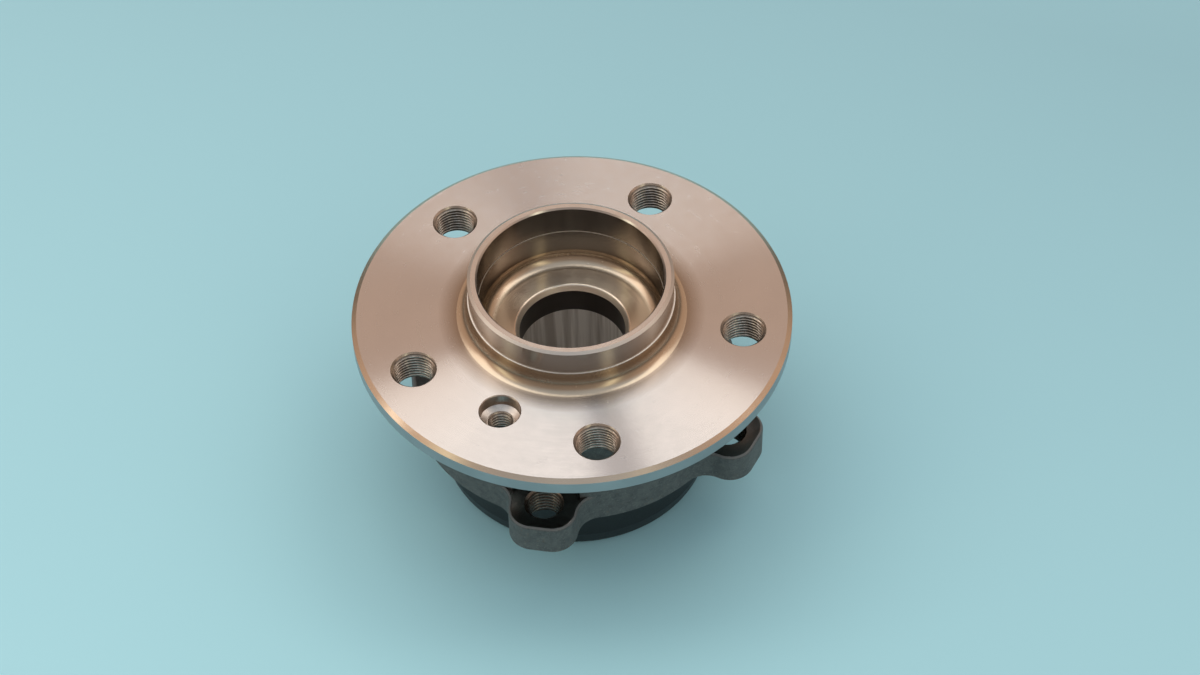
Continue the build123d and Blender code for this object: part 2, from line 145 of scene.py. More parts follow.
# ---- light: two softboxes and the room round them, as linear colours ----
VIEW_AZ = 65.4                # azimuth in which the camera looks
VIEW_EL = 48.5                # how far it looks down, so also the slope in which the face mirrors it
SOFTBOX_OFF = 640.0           # distance of the softboxes' plane from the hub, across that slope
SOFTBOX_START = 800.0         # their two ends, along the slope
SOFTBOX_END = 5100.0
SOFTBOX_SIDES = ((1950.0, -60.0), (-217.0, -1250.0))   # left and right side of each
SOFTBOX_RADIANCE = 1.54
SOFTBOX_COLOUR = (1.0, 0.955, 0.885)
SIDE_WALL = (0.665, 0.470, 0.360, 1)
FAR_WALL = (0.655, 0.463, 0.354, 1)
NEAR_WALL = (0.34, 0.28, 0.24, 1)
LOW_WALL = (0.13, 0.11, 0.095, 1)
CEILING = (0.57, 0.62, 0.68, 1)
SHADE = (0.50, 0.56, 0.64, 1)  # all the walls, as they light what is matt
LOW_WALL_Z = (0.12, 0.36)     # heights on the unit sphere between which the low wall ends
CEILING_Z = (0.75, 0.92)      # and the ceiling starts
WINDOW = (1.6, 1.5, 1.15, 1)
WINDOW_FOOT_Z = (0.25, 0.35)
WINDOW_HEAD_Z = (0.80, 0.85)
WINDOWS = ((174.0, 5.0), (-78.0, 5.0))   # azimuth and half width of each
WINDOW_EDGE = 2.0             # how softly a window ends, in degrees either way
FLOOR_SIZE = 4000.0           # half the side of the floor
# the floor's lit tone and its painted shade, mixed along FLOOR_FADE
FLOOR_LIGHT = (0.53, 0.88, 0.91, 1)
FLOOR_DARK = (0.335, 0.55, 0.585, 1)
FLOOR_FADE = (0.66, 0.75, 0)  # direction on the floor in which its painted fall-off of light darkens it
FLOOR_FADE_FROM = -130.0      # where along it the fade starts and ends
FLOOR_FADE_TO = 260.0


# ------------------------------------------------------------------ outlines and meshes
def arc_corner(before, corner, after, radius, steps=10):
    """Points of the round that replaces one corner of an outline."""
    a = (Vector(before) - Vector(corner)).normalized()
    b = (Vector(after) - Vector(corner)).normalized()
    half = a.angle(b) / 2
    reach = radius / tan(half)
    centre = Vector(corner) + (a + b).normalized() * (radius / sin(half))
    start = Vector(corner) + a * reach
    end = Vector(corner) + b * reach
    first = start - centre
    turn = first.angle_signed(end - centre)
    points = []
    for step in range(steps + 1):
        spoke = first.copy()
        spoke.rotate(Matrix.Rotation(-turn * step / steps, 2))
        points.append(tuple(centre + spoke))
    return points


def outline(corners):
    """A closed outline from (r, z) or (r, z, radius) corners, with support loops beside each."""
    count = len(corners)
    rounded = []
    for index, corner in enumerate(corners):
        if len(corner) == 2:
            rounded.append([tuple(corner)])
            continue
        before = corners[index - 1][:2]
        after = corners[(index + 1) % count][:2]
        rounded.append(arc_corner(before, corner[:2], after, corner[2]))
    points = []
    for index, group in enumerate(rounded):
        points += group
        start = Vector(group[-1])
        end = Vector(rounded[(index + 1) % count][0])
        run = end - start
        if run.length > 6 * SUPPORT:
            points.append(tuple(start + run.normalized() * SUPPORT))
            points.append(tuple(end - run.normalized() * SUPPORT))
    return points


def new_object(name, verts, faces):
    """A mesh object from vertices in millimetres."""
    mesh = bpy.data.meshes.new(name)
    mesh.from_pydata([tuple(c * MM for c in v) for v in verts], [], faces)
    mesh.update()
    obj = bpy.data.objects.new(name, mesh)
    bpy.context.collection.objects.link(obj)
    return obj


def lathe(name, points):
    """Turns a closed (r, z) outline about Z into a closed mesh."""
    verts = []
    for r, z in points:
        verts += ring(r, z, SEGMENTS)
    faces = []
    for index in range(len(points)):
        after = (index + 1) % len(points)
        faces += band(index * SEGMENTS, after * SEGMENTS, SEGMENTS)
    obj = new_object(name, verts, faces)
    face_outward(obj)
    return obj


def face_outward(obj):
    """Makes all normals point out of the closed mesh."""
    bm = bmesh.new()
    bm.from_mesh(obj.data)
    bmesh.ops.recalc_face_normals(bm, faces=bm.faces)
    bm.to_mesh(obj.data)
    bm.free()


def smooth(obj, limit=25.0):
    """Smooth shading, with every edge sharper than limit degrees kept hard."""
    bm = bmesh.new()
    bm.from_mesh(obj.data)
    for face in bm.faces:
        face.smooth = True
    for edge in bm.edges:
        edge.smooth = len(edge.link_faces) == 2 and edge.calc_face_angle(pi) < radians(limit)
    bm.to_mesh(obj.data)
    bm.free()


def drill(obj, cutters):
    """Takes the cutters out of obj and deletes them."""
    for cutter in cutters:
        step = obj.modifiers.new("hole", "BOOLEAN")
        step.operation = "DIFFERENCE"
        step.solver = "EXACT"
        step.object = cutter
    bpy.context.view_layer.update()
    graph = bpy.context.evaluated_depsgraph_get()
    mesh = bpy.data.meshes.new_from_object(obj.evaluated_get(graph))
    obj.modifiers.clear()
    obj.data = mesh
    for cutter in cutters:
        bpy.data.objects.remove(cutter)


def polar(radius, azimuth):
    """x and y of a place given by radius and azimuth in degrees."""
    return radius * cos(radians(azimuth)), radius * sin(radians(azimuth))


def ring(r, z, count, x=0.0, y=0.0):
    """Points of one level circle."""
    angles = [2 * pi * s / count for s in range(count)]
    return [(x + r * cos(angle), y + r * sin(angle), z) for angle in angles]


def band(first, second, count):
    """Faces between two rings of vertices, given by the index of each ring's first one."""
    faces = []
    for s in range(count):
        t = (s + 1) % count
        faces.append((first + s, first + t, second + t, second + s))
    return faces


def turned_cutter(points, x, y):
    """A closed solid of revolution about the vertical through x, y, with flat ends."""
    count = HOLE_SEGMENTS
    verts = []
    for r, z in points:
        verts += ring(r, z, count, x, y)
    last = (len(points) - 1) * count
    faces = []
    for first in range(0, last, count):
        faces += band(first, first + count, count)
    faces.append(tuple(reversed(range(count))))
    faces.append(tuple(range(last, last + count)))
    obj = new_object("cutter", verts, faces)
    face_outward(obj)
    return obj


def thread_sleeve(name, x, y, top_z, low_z, thread):
    """The wall of a threaded hole: a closed sleeve whose inside is a helical 60 degree thread."""
    major_r, minor_r, pitch, bevel_top, bevel_low = thread
    around = THREAD_AROUND
    height = top_z - low_z
    rows = ceil(height / pitch * THREAD_ROWS)
    outer_r = major_r + SLEEVE_WALL
    verts = []
    for row in range(rows + 1):
        z = top_z - height * row / rows
        for s in range(around):
            angle = 2 * pi * s / around
            r = thread_radius(z / pitch + s / around, major_r, minor_r)
            r = max(r, bevel_top - (top_z - z), bevel_low - (z - low_z))
            r = min(r, outer_r - SLEEVE_SKIN)
            verts.append((x + r * cos(angle), y + r * sin(angle), z))
    outer_low = len(verts)
    outer_top = outer_low + around
    verts += ring(outer_r, low_z, around, x, y)
    verts += ring(outer_r, top_z, around, x, y)
    faces = []
    for row in range(rows):
        faces += band(row * around, (row + 1) * around, around)
    faces += band(rows * around, outer_low, around)
    faces += band(outer_low, outer_top, around)
    faces += band(outer_top, 0, around)
    obj = new_object(name, verts, faces)
    face_outward(obj)
    smooth(obj, 40)
    return obj


def thread_radius(turns, major_r, minor_r):
    """Wall radius of a thread form: flat crest, flank, narrow flat root, flank."""
    phase = turns % 1.0
    flank = (1 - THREAD_CREST - THREAD_ROOT) / 2
    if phase < THREAD_CREST:
        depth = 0.0
    elif phase < THREAD_CREST + flank:
        depth = (phase - THREAD_CREST) / flank
    elif phase < THREAD_CREST + flank + THREAD_ROOT:
        depth = 1.0
    else:
        depth = (1 - phase) / flank
    return minor_r + (major_r - minor_r) * depth


# ------------------------------------------------------------------ pieces
def hub_outline():
    """Half section of the hub, with its rounds."""
    mouth_z = PILOT_TOP_Z - RECESS_MOUTH_BEVEL
    race = []
    for step in range(RACE_STEPS + 1):
        angle = radians(RACE_START_DEG + RACE_TURN_DEG * step / RACE_STEPS)
        race.append((RACE_CENTRE_R + RACE_R * cos(angle), RACE_CENTRE_Z + RACE_R * sin(angle)))
    corners = [
        (BORE_R, SPINDLE_END_Z + SPINDLE_MOUTH_BEVEL),
        (BORE_R, BORE_MOUTH_LOW_Z),
        (BORE_R, BORE_LIP_Z, LIP_ROUND),
        (BORE_LIP_R, RECESS_FLOOR_Z, LIP_ROUND),
        (RECESS_LAND_R, RECESS_FLOOR_Z, RECESS_ROUND),
        (RECESS_LAND_R, RECESS_STEP_Z - RECESS_STEP_SLOPE),
        (RECESS_R, RECESS_STEP_Z + RECESS_STEP_SLOPE),
        (RECESS_R, mouth_z),
        (RECESS_R + RECESS_MOUTH_BEVEL, PILOT_TOP_Z),
        (PILOT_RIM_R, PILOT_TOP_Z),
        (WHEEL_PILOT_R, PILOT_LEAD_Z),
        (WHEEL_PILOT_R, PILOT_STEP_Z),
        (DISC_PILOT_R, PILOT_STEP_Z - PILOT_STEP_SLOPE),
        (DISC_PILOT_R, 0, PILOT_FOOT_ROUND),
        (FLANGE_R - FLANGE_BEVEL_R, 0),
        (FLANGE_R, -FLANGE_BEVEL_Z),
        (FLANGE_R, FLANGE_RIM_Z),
        (FLANGE_BACK_R, FLANGE_BACK_Z, FLANGE_BACK_ROUND),
        (SEAL_FACE_STEP_R, FLANGE_BACK_Z),
        (SEAL_FACE_R, SEAL_FACE_Z),
        (INNER_SHOULDER_R, SEAL_FACE_Z, SHOULDER_FOOT_ROUND),
        (INNER_SHOULDER_R, RACE_TOP_Z),
    ]
    corners += race
    corners += [
        (INNER_LAND_R, ROW_CENTRE_Z),
        (SPINDLE_R, ROW_CENTRE_Z),
        (SPINDLE_R, INNER_RING_END_Z + INNER_RING_CORNER),
        (SPINDLE_R + INNER_RING_CORNER, INNER_RING_END_Z),
        (FORMED_LIP_R, INNER_RING_END_Z),
        (FORMED_LIP_R, FORMED_LIP_EDGE_Z),
        (FORMED_LIP_CREST_R, SPINDLE_END_Z),
        (BORE_R + SPINDLE_MOUTH_BEVEL, SPINDLE_END_Z),
    ]
    return outline(corners)


def hub_finish(centre, normal):
    """The name of the finish that a face of the hub has, from its place and slope."""
    screw_x, screw_y = polar(LOCATOR_R, LOCATOR_AZ)
    from_screw = hypot(centre.x - screw_x, centre.y - screw_y)
    r = hypot(centre.x, centre.y)
    z = centre.z
    flat = normal.z > FLAT_SLOPE
    if from_screw < LOCATOR_BORE_R + LOCATOR_BEVEL and z < -HAIR:
        return "drilled"
    if r > FLANGE_R - SLACK and z < -FLANGE_BEVEL_Z:
        return "rim"
    if r > WHEEL_PILOT_R and PILOT_STEP_Z - PILOT_STEP_SLOPE < z < PILOT_STEP_Z:
        return "line"
    if r < RECESS_R and abs(z - RECESS_STEP_Z) < RECESS_STEP_SLOPE:
        return "line"
    if r > FLANGE_R - FLANGE_BEVEL_R and -FLANGE_BEVEL_Z < z < -HAIR:
        return "bevel"
    if r > FACE_START_R and flat and z > -SLACK:
        return "face"
    if DISC_PILOT_R - SLACK < r < FOOT_END_R and z > -SLACK:
        return "foot"
    if WHEEL_PILOT_R - 0.5 < r < DISC_PILOT_R + SLACK and 0 < z < PILOT_LEAD_Z:
        return "pilot"
    if r > PILOT_RIM_R and PILOT_LEAD_Z < z < PILOT_TOP_Z:
        return "edge"
    if r > WHEEL_PILOT_R - 3 and z > -FLANGE_BEVEL_Z - SLACK:
        return "land"
    if r < RECESS_R + 1 and z > RECESS_FLOOR_Z + RECESS_ROUND:
        return "recess"
    if RECESS_LAND_R - RECESS_ROUND < r < RECESS_R + 1 and z > RECESS_FLOOR_Z + 2 * HAIR:
        return "foot"
    if r < RECESS_R and z > RECESS_FLOOR_Z - SLACK:
        return "floor"
    if r < BORE_LIP_R and z > BORE_LIP_Z - HAIR:
        return "lip"
    if r < BORE_R + SLACK:
        return "mouth" if z > BORE_MOUTH_LOW_Z else "bore"
    return "back"


def wheel_bolt_places():
    """x and y of the five wheel-bolt holes."""
    step = 360 / WHEEL_BOLTS
    return [polar(WHEEL_PCD / 2, FIRST_WHEEL_BOLT_AZ + index * step) for index in range(WHEEL_BOLTS)]


def disc_screw_outline():
    """Half section of the disc screw's bevelled, stepped hole, out to its thread's sleeve."""
    mouth_r = LOCATOR_BORE_R + LOCATOR_BEVEL
    narrow = SCREW_THREAD[0] + SLEEVE_WALL
    return [
        (mouth_r + OVERCUT, OVERCUT),
        (mouth_r, 0),
        (LOCATOR_BORE_R, -LOCATOR_BEVEL),
        (LOCATOR_BORE_R, -LOCATOR_BORE_DEPTH),
        (narrow, -LOCATOR_BORE_DEPTH - LOCATOR_CONE_DEPTH),
        (narrow, FLANGE_BACK_Z - OVERCUT),
    ]


def make_hub(finishes):
    """The hub, with its holes drilled for the thread sleeves."""
    hub = lathe("hub_forging", hub_outline())
    wide = WHEEL_THREAD[0] + SLEEVE_WALL
    through = [(wide, OVERCUT), (wide, FLANGE_BACK_Z - OVERCUT)]
    cutters = [turned_cutter(through, x, y) for x, y in wheel_bolt_places()]
    cutters.append(turned_cutter(disc_screw_outline(), *polar(LOCATOR_R, LOCATOR_AZ)))
    drill(hub, cutters)
    smooth(hub)
    names = list(finishes)
    for name in names:
        hub.data.materials.append(finishes[name])
    for face in hub.data.polygons:
        face.material_index = names.index(hub_finish(face.center / MM, face.normal))
    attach(hub, "hub")
    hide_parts("hub_flange")


def make_hub_threads(finishes):
    """Cut threads of the five wheel-bolt holes and of the disc screw's hole."""
    for number, (x, y) in enumerate(wheel_bolt_places(), 1):
        sleeve = thread_sleeve(f"wheel_bolt_thread_{number}", x, y, 0, FLANGE_BACK_Z, WHEEL_THREAD)
        finish_thread(sleeve, x, y, WHEEL_THREAD, finishes, "hub")
    x, y = polar(LOCATOR_R, LOCATOR_AZ)
    top = -LOCATOR_BORE_DEPTH - LOCATOR_CONE_DEPTH
    sleeve = thread_sleeve("disc_screw_thread", x, y, top, FLANGE_BACK_Z, SCREW_THREAD)
    finish_thread(sleeve, x, y, SCREW_THREAD, finishes, "hub")


def make_knuckle_threads(finishes):
    """Cut threads of the four lugs."""
    for side_x, left_right in ((-1, "left"), (1, "right")):
        for side_y, low_high in ((-1, "low"), (1, "high")):
            x = side_x * LUG_SPACING_X / 2
            y = side_y * LUG_SPACING_Y / 2
            name = f"knuckle_thread_{left_right}_{low_high}"
            sleeve = thread_sleeve(name, x, y, LUG_TOP_Z, KNUCKLE_FACE_Z, KNUCKLE_THREAD)
            finish_thread(sleeve, x, y, KNUCKLE_THREAD, finishes, "housing")


def finish_thread(sleeve, x, y, thread, finishes, body):
    """Paints a thread's crests and roots with the two finishes, and lets it ride on its body."""
    major, minor, _, bevel_top, bevel_low = thread
    heights = [v.co.z / MM for v in sleeve.data.vertices]
    top = max(heights)
    low = min(heights)
    for finish in finishes:
        sleeve.data.materials.append(finish)
    crest_r = minor + (major - minor) * CREST_PAINT
    for face in sleeve.data.polygons:
        r = hypot(face.center.x / MM - x, face.center.y / MM - y)
        z = face.center.z / MM
        bevel_r = max(bevel_top - (top - z), bevel_low - (z - low))
        face.material_index = 1 if crest_r < r < major and r > bevel_r + BEVEL_PAINT else 0
    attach(sleeve, body)


# ------------------------------------------------------------------ materials
GROOVE_DRIFT = 1.5            # how much a groove changes on its way round
GROOVE_DEPTH = 0.02
QUARTER_TURN = 0.25           # turns the anisotropy from along the grooves to across them
SCRATCH_STRETCH = (35, 2600, 35)
SCRATCH_TONE = (0.95, 0.93, 0.90, 1)
FACE_TONE = (0.66, 0.635, 0.62, 1)
FACE_PAINTED_RAMP = (37.5, 43.5, (0.38, 0.31, 0.25, 1))   # painted reflection: the face darkens to brown towards the pilot's foot
SCALE_DARK = (0.084, 0.080, 0.076, 1)
SCALE_LIGHT = (0.150, 0.140, 0.130, 1)
SCALE_GRIT = (0.27, 0.25, 0.23, 1)
SCALE_RUST = (0.20, 0.11, 0.06, 1)
# painted highlight along the rounded rims of the lugs
SCALE_EDGE_HIGHLIGHT = (0.24, 0.24, 0.235, 1)
CUT_ROUGH = (0.23, 0.23, 0.23, 1)
CUT_WALL = 3.2                # height of the cut wall round a lug's top
EDGE_HIGHLIGHT_BELOW = 1.2              # height of the painted highlight along a lug's rounded rim, below and above the lug's top
EDGE_HIGHLIGHT_ABOVE = 3.3
SEAT_R = 45.0                 # within it the outer ring is ground


class Nodes:
    """A short way to write a node graph."""

    def __init__(self, tree):
        self.tree = tree

    def add(self, kind, **inputs):
        node = self.tree.nodes.new(kind)
        for key, value in inputs.items():
            self.set(node.inputs[key.replace("_", " ")], value)
        return node

    def set(self, socket, value):
        if isinstance(value, bpy.types.NodeSocket):
            self.tree.links.new(value, socket)
        else:
            socket.default_value = value

    def math(self, operation, a, b=0.0, clamp=False):
        node = self.tree.nodes.new("ShaderNodeMath")
        node.operation = operation
        node.use_clamp = clamp
        self.set(node.inputs[0], a)
        self.set(node.inputs[1], b)
        return node.outputs[0]

    def mix(self, factor, a, b):
        node = self.tree.nodes.new("ShaderNodeMix")
        node.data_type = "RGBA"
        self.set(node.inputs["Factor"], factor)
        self.set(node.inputs["A"], a)
        self.set(node.inputs["B"], b)
        return node.outputs["Result"]

    def map(self, value, low, high, to_low, to_high):
        node = self.tree.nodes.new("ShaderNodeMapRange")
        for index, number in enumerate((value, low, high, to_low, to_high)):
            self.set(node.inputs[index], number)
        return node.outputs[0]

    def noise(self, vector, scale, detail=2.0, roughness=0.5):
        node = self.add("ShaderNodeTexNoise", Vector=vector, Scale=scale, Detail=detail, Roughness=roughness)
        return node.outputs["Fac"]

    def place(self):
        """Position on the object, in metres."""
        return self.tree.nodes.new("ShaderNodeTexCoord").outputs["Object"]

    def times(self, vector, factors):
        """The vector with each of its parts multiplied by the one in factors."""
        node = self.tree.nodes.new("ShaderNodeVectorMath")
        node.operation = "MULTIPLY"
        self.set(node.inputs[0], vector)
        node.inputs[1].default_value = factors
        return node.outputs["Vector"]

    def length(self, x, y):
        """Length of the level vector x, y."""
        return self.math("SQRT", self.math("ADD", self.math("MULTIPLY", x, x), self.math("MULTIPLY", y, y)))

    def within(self, value, low, high):
        """1 where value lies between low and high millimetres, else 0."""
        above = self.math("GREATER_THAN", value, low * MM)
        below = self.math("LESS_THAN", value, high * MM)
        return self.math("MULTIPLY", above, below)

    def dot(self, vector, direction):
        node = self.tree.nodes.new("ShaderNodeVectorMath")
        node.operation = "DOT_PRODUCT"
        self.set(node.inputs[0], vector)
        node.inputs[1].default_value = direction
        return node.outputs["Value"]


class Finish(Nodes):
    """The node graph of one material."""

    def __init__(self, name):
        self.material = bpy.data.materials.new(name)
        self.material.use_nodes = True
        super().__init__(self.material.node_tree)
        self.shader = self.tree.nodes["Principled BSDF"]

    def bump(self, height, strength, distance_mm):
        """Adds a bump on top of the bumps that the shader already has."""
        node = self.add("ShaderNodeBump", Strength=strength, Distance=distance_mm * MM, Height=height)
        normal = self.shader.inputs["Normal"]
        if normal.is_linked:
            self.set(node.inputs["Normal"], normal.links[0].from_socket)
        self.set(normal, node.outputs["Normal"])

    def shade(self, **inputs):
        for key, value in inputs.items():
            self.set(self.shader.inputs[key.replace("_", " ")], value)
        return self.material


def lathe_grooves(n, across):
    """Noise in the shape of a tool's grooves, across of them in a millimetre, and the radius."""
    x, y, z = n.add("ShaderNodeSeparateXYZ", Vector=n.place()).outputs
    radius = n.length(x, y)
    angle = n.math("ARCTAN2", y, x)
    join = n.add(
        "ShaderNodeCombineXYZ",
        X=n.math("MULTIPLY", radius, across / MM),
        Y=n.math("MULTIPLY", z, across / MM),
        Z=n.math("MULTIPLY", n.math("COSINE", angle), GROOVE_DRIFT),
    )
    return n.noise(join.outputs[0], 1.0, 3.0, 0.6), radius


def scratches(n, angle, density):
    """A few fine straight scratches that run at one angle."""
    turn = n.add("ShaderNodeVectorRotate", Vector=n.place(), Angle=radians(angle))
    stretched = n.times(turn.outputs[0], SCRATCH_STRETCH)
    return n.map(n.noise(stretched, 1.0, 1.0), density, density + 0.03, 0, 1)


def turned_steel(name, colour, rough, spread, groove, relief, stain, scratched=0.0, ramp=None, lean=0.0):
    """Turned or ground steel: grooves round the axis, uneven polish and faint stains.

    spread is how far the grooves widen what they mirror, from 0 to 1. groove is their number in a
    millimetre, relief how deep they look, stain how much darker the stains are.
    scratched is how strongly the fine straight scratches show.
    ramp is (radius, radius, colour), a painted reflection: the inner radius in mm takes that colour, the
    outer none of it.
    lean is the slope by which the grooves' facets lean outwards, as a turning tool leaves them.
    """
    n = Finish(name)
    fine, radius = lathe_grooves(n, groove)
    broad = n.noise(n.place(), 60.0, 3.0)
    cloud = n.noise(n.place(), 260.0, 4.0, 0.65)
    darker = tuple(c * (1 - stain) for c in colour[:3]) + (1,)
    tone = n.mix(n.map(broad, 0.35, 0.65, 0, 1), colour, darker)
    tone = n.mix(n.map(fine, 0.3, 0.75, 0.0, 0.35), tone, darker)
    # painted reflection: the face darkens to the ramp's colour towards the inner radius
    if ramp:
        inner, outer, inner_colour = ramp
        tone = n.mix(n.map(radius, inner * MM, outer * MM, 1, 0), tone, inner_colour)
    if scratched:
        marks = n.math("MAXIMUM", scratches(n, 25, 0.84), scratches(n, -50, 0.85))
        tone = n.mix(n.math("MULTIPLY", marks, scratched), tone, SCRATCH_TONE)
    polish = n.map(n.math("ADD", fine, cloud), 0.7, 1.3, rough * 0.88, rough * 1.12)
    tangent = n.tree.nodes.new("ShaderNodeTangent")
    tangent.direction_type = "RADIAL"
    tangent.axis = "Z"
    n.bump(fine, relief, GROOVE_DEPTH)
    if lean:
        n.bump(n.math("MULTIPLY", radius, -lean / MM), 1.0, 1.0)
    return n.shade(
        Base_Color=tone,
        Metallic=1.0,
        Roughness=polish,
        Anisotropic=spread,
        Anisotropic_Rotation=QUARTER_TURN,
        Tangent=tangent.outputs[0],
    )


def bore_painted_streaks():
    """Drawn wall deep in the bore, with pale streaks along the axis that are painted reflections of the
    lights.
    """
    n = Finish("bore_wall")
    x, y, z = n.add("ShaderNodeSeparateXYZ", Vector=n.place()).outputs
    along = n.add("ShaderNodeCombineXYZ", X=x, Y=y, Z=n.math("MULTIPLY", z, 0.04))
    streak = n.noise(along.outputs[0], 330.0, 3.0, 0.6)
    grain = n.noise(n.place(), 1400.0, 3.0, 0.6)
    # painted reflections: pale streaks along the axis
    tone = n.mix(n.map(streak, 0.4, 0.62, 0, 1), (0.60, 0.55, 0.50, 1), (1.0, 0.96, 0.90, 1))
    n.bump(grain, 0.15, 0.02)
    return n.shade(Base_Color=tone, Metallic=0.6, Roughness=n.map(streak, 0.3, 0.7, 0.62, 0.45))


def tapped_steel(name, colour, rough):
    """Tapped steel with an uneven film of oil."""
    n = Finish(name)
    grain = n.noise(n.place(), 1500.0, 3.0, 0.6)
    film = n.noise(n.place(), 180.0, 2.0)
    darkened = tuple(c * 0.6 for c in colour[:3]) + (1,)
    tone = n.mix(n.map(film, 0.35, 0.7, 0, 1), colour, darkened)
    n.bump(grain, 0.25, 0.02)
    return n.shade(Base_Color=tone, Metallic=1.0, Roughness=n.map(grain, 0.3, 0.7, rough * 0.8, rough * 1.2))


def lug_masks(n, x, y, z, slope):
    """Where a lug's top and the wall above it are cut, where their rounded rim has a painted highlight, and
    the distance from the nearest lug's hole."""
    off_x = n.math("SUBTRACT", n.math("ABSOLUTE", x), LUG_SPACING_X / 2 * MM)
    off_y = n.math("SUBTRACT", n.math("ABSOLUTE", y), LUG_SPACING_Y / 2 * MM)
    to_hole = n.length(off_x, off_y)
    level = n.math("GREATER_THAN", slope, FLAT_SLOPE)
    top = n.math("MULTIPLY", n.within(z, LUG_TOP_Z - SLACK, LUG_TOP_Z + SLACK), level)
    wall = n.math(
        "MULTIPLY",
        n.within(z, LUG_TOP_Z - SLACK, LUG_TOP_Z + CUT_WALL),
        n.within(to_hole, SPOT_FACE_R - SLACK, SPOT_FACE_R + SLACK),
    )
    rounded = n.math("SUBTRACT", n.math("GREATER_THAN", slope, 0.55), level)
    edge_highlight = n.math("MULTIPLY", n.within(z, LUG_TOP_Z - EDGE_HIGHLIGHT_BELOW, LUG_TOP_Z + EDGE_HIGHLIGHT_ABOVE), rounded)
    return n.math("MAXIMUM", top, wall), edge_highlight, to_hole


def ground_mask(n, x, y, z, slope):
    """Where the outer ring is ground: the knuckle face, the spigot and everything inside."""
    level = n.math("LESS_THAN", slope, -FLAT_SLOPE)
    seat = n.math("MULTIPLY", level, n.within(z, KNUCKLE_FACE_Z - SLACK, KNUCKLE_FACE_Z + SLACK))
    spigot = n.math("LESS_THAN", z, (KNUCKLE_FACE_Z - SLACK) * MM)
    inside = n.math("LESS_THAN", n.length(x, y), SEAT_R * MM)
    return n.math("MAXIMUM", seat, n.math("MAXIMUM", spigot, inside))


def forged_steel():
    """The outer ring: scaled forging, cut lug tops painted dark as the shade and dark reflection under the
    flange, and bright ground bores and seats.
    """
    n = Finish("forged_scale")
    x, y, z = n.add("ShaderNodeSeparateXYZ", Vector=n.place()).outputs
    slope = n.dot(n.tree.nodes.new("ShaderNodeNewGeometry").outputs["Normal"], (0, 0, 1))
    cut, edge_highlight, to_hole = lug_masks(n, x, y, z, slope)
    ground = ground_mask(n, x, y, z, slope)
    machined = n.math("MAXIMUM", cut, ground)

    grit = n.noise(n.place(), 1500.0, 6.0, 0.75)
    lumps = n.noise(n.place(), 420.0, 4.0, 0.6)
    rust = n.noise(n.place(), 700.0, 3.0, 0.6)
    tone = n.mix(n.map(lumps, 0.3, 0.7, 0, 1), SCALE_LIGHT, SCALE_DARK)
    tone = n.mix(n.map(grit, 0.52, 0.70, 0, 0.8), tone, SCALE_GRIT)
    tone = n.mix(n.map(rust, 0.64, 0.72, 0, 0.4), tone, SCALE_RUST)
    rough = n.map(grit, 0.3, 0.7, 0.42, 0.62)

    rings = n.noise(
        n.add("ShaderNodeCombineXYZ", X=n.math("MULTIPLY", to_hole, 4000.0)).outputs[0], 1.0, 2.0
    )
    # painted shade: the cut lug tops are coloured near black for the shade and dark reflection under the
    # flange; the rings are tool marks
    shaded_cut_tone = n.mix(rings, (0.11, 0.10, 0.095, 1), (0.21, 0.195, 0.185, 1))
    tone = n.mix(cut, tone, shaded_cut_tone)
    # painted highlight: a lighter line along the rounded rim round a lug's top
    tone = n.mix(n.math("MULTIPLY", edge_highlight, 0.7), tone, SCALE_EDGE_HIGHLIGHT)
    rough = n.mix(cut, rough, CUT_ROUGH)

    turning, _ = lathe_grooves(n, 5.0)
    ground_tone = n.mix(turning, (0.46, 0.45, 0.44, 1), (0.62, 0.61, 0.60, 1))
    tone = n.mix(ground, tone, ground_tone)
    rough = n.mix(ground, rough, n.map(turning, 0.3, 0.7, 0.24, 0.34))

    rugged = n.math("ADD", grit, n.math("MULTIPLY", lumps, 1.5))
    n.bump(n.mix(machined, rugged, n.math("MULTIPLY", turning, 0.1)), 0.7, 0.14)
    metal = n.map(machined, 0, 1, 0.3, 1.0)
    return n.shade(Base_Color=tone, Metallic=metal, Roughness=rough)


def black_plastic():
    """Moulded black plastic with a fine grain."""
    n = Finish("cover_plastic")
    grain = n.noise(n.place(), 2500.0, 3.0, 0.6)
    dust = n.noise(n.place(), 500.0, 5.0, 0.7)
    tone = n.mix(n.map(dust, 0.55, 0.8, 0, 0.5), (0.008, 0.008, 0.009, 1), (0.028, 0.029, 0.031, 1))
    n.bump(grain, 0.15, 0.03)
    return n.shade(Base_Color=tone, Roughness=n.map(grain, 0.3, 0.7, 0.36, 0.5))


def seal_rubber(name, colour):
    """Moulded rubber with a matt, slightly dusty skin."""
    n = Finish(name)
    grain = n.noise(n.place(), 1800.0, 4.0, 0.6)
    light = tuple(c * 1.8 for c in colour[:3]) + (1,)
    tone = n.mix(n.map(grain, 0.45, 0.8, 0, 1), colour, light)
    n.bump(grain, 0.2, 0.03)
    return n.shade(Base_Color=tone, Roughness=n.map(grain, 0.3, 0.7, 0.55, 0.7))


def cage_nylon():
    """Glass-filled nylon of the cages: amber, slightly waxy, with short pale fibres."""
    n = Finish("cage_nylon")
    fibre = n.noise(n.place(), 2200.0, 4.0, 0.7)
    tone = n.mix(n.map(fibre, 0.4, 0.75, 0, 1), (0.42, 0.27, 0.11, 1), (0.60, 0.44, 0.23, 1))
    n.bump(fibre, 0.15, 0.03)
    return n.shade(Base_Color=tone, Roughness=n.map(fibre, 0.3, 0.7, 0.38, 0.52))


def ball_steel():
    """Lapped ball steel with a thin film of grease."""
    n = Finish("ball_steel")
    film = n.noise(n.place(), 300.0, 3.0)
    tone = n.mix(n.map(film, 0.4, 0.7, 0, 1), (0.80, 0.80, 0.81, 1), (0.68, 0.67, 0.66, 1))
    return n.shade(Base_Color=tone, Metallic=1.0, Roughness=n.map(film, 0.3, 0.7, 0.06, 0.14))


def paint_node(node, material):
    """Gives a CAD node its finish."""
    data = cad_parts[node].data
    data.materials.clear()
    data.materials.append(material)


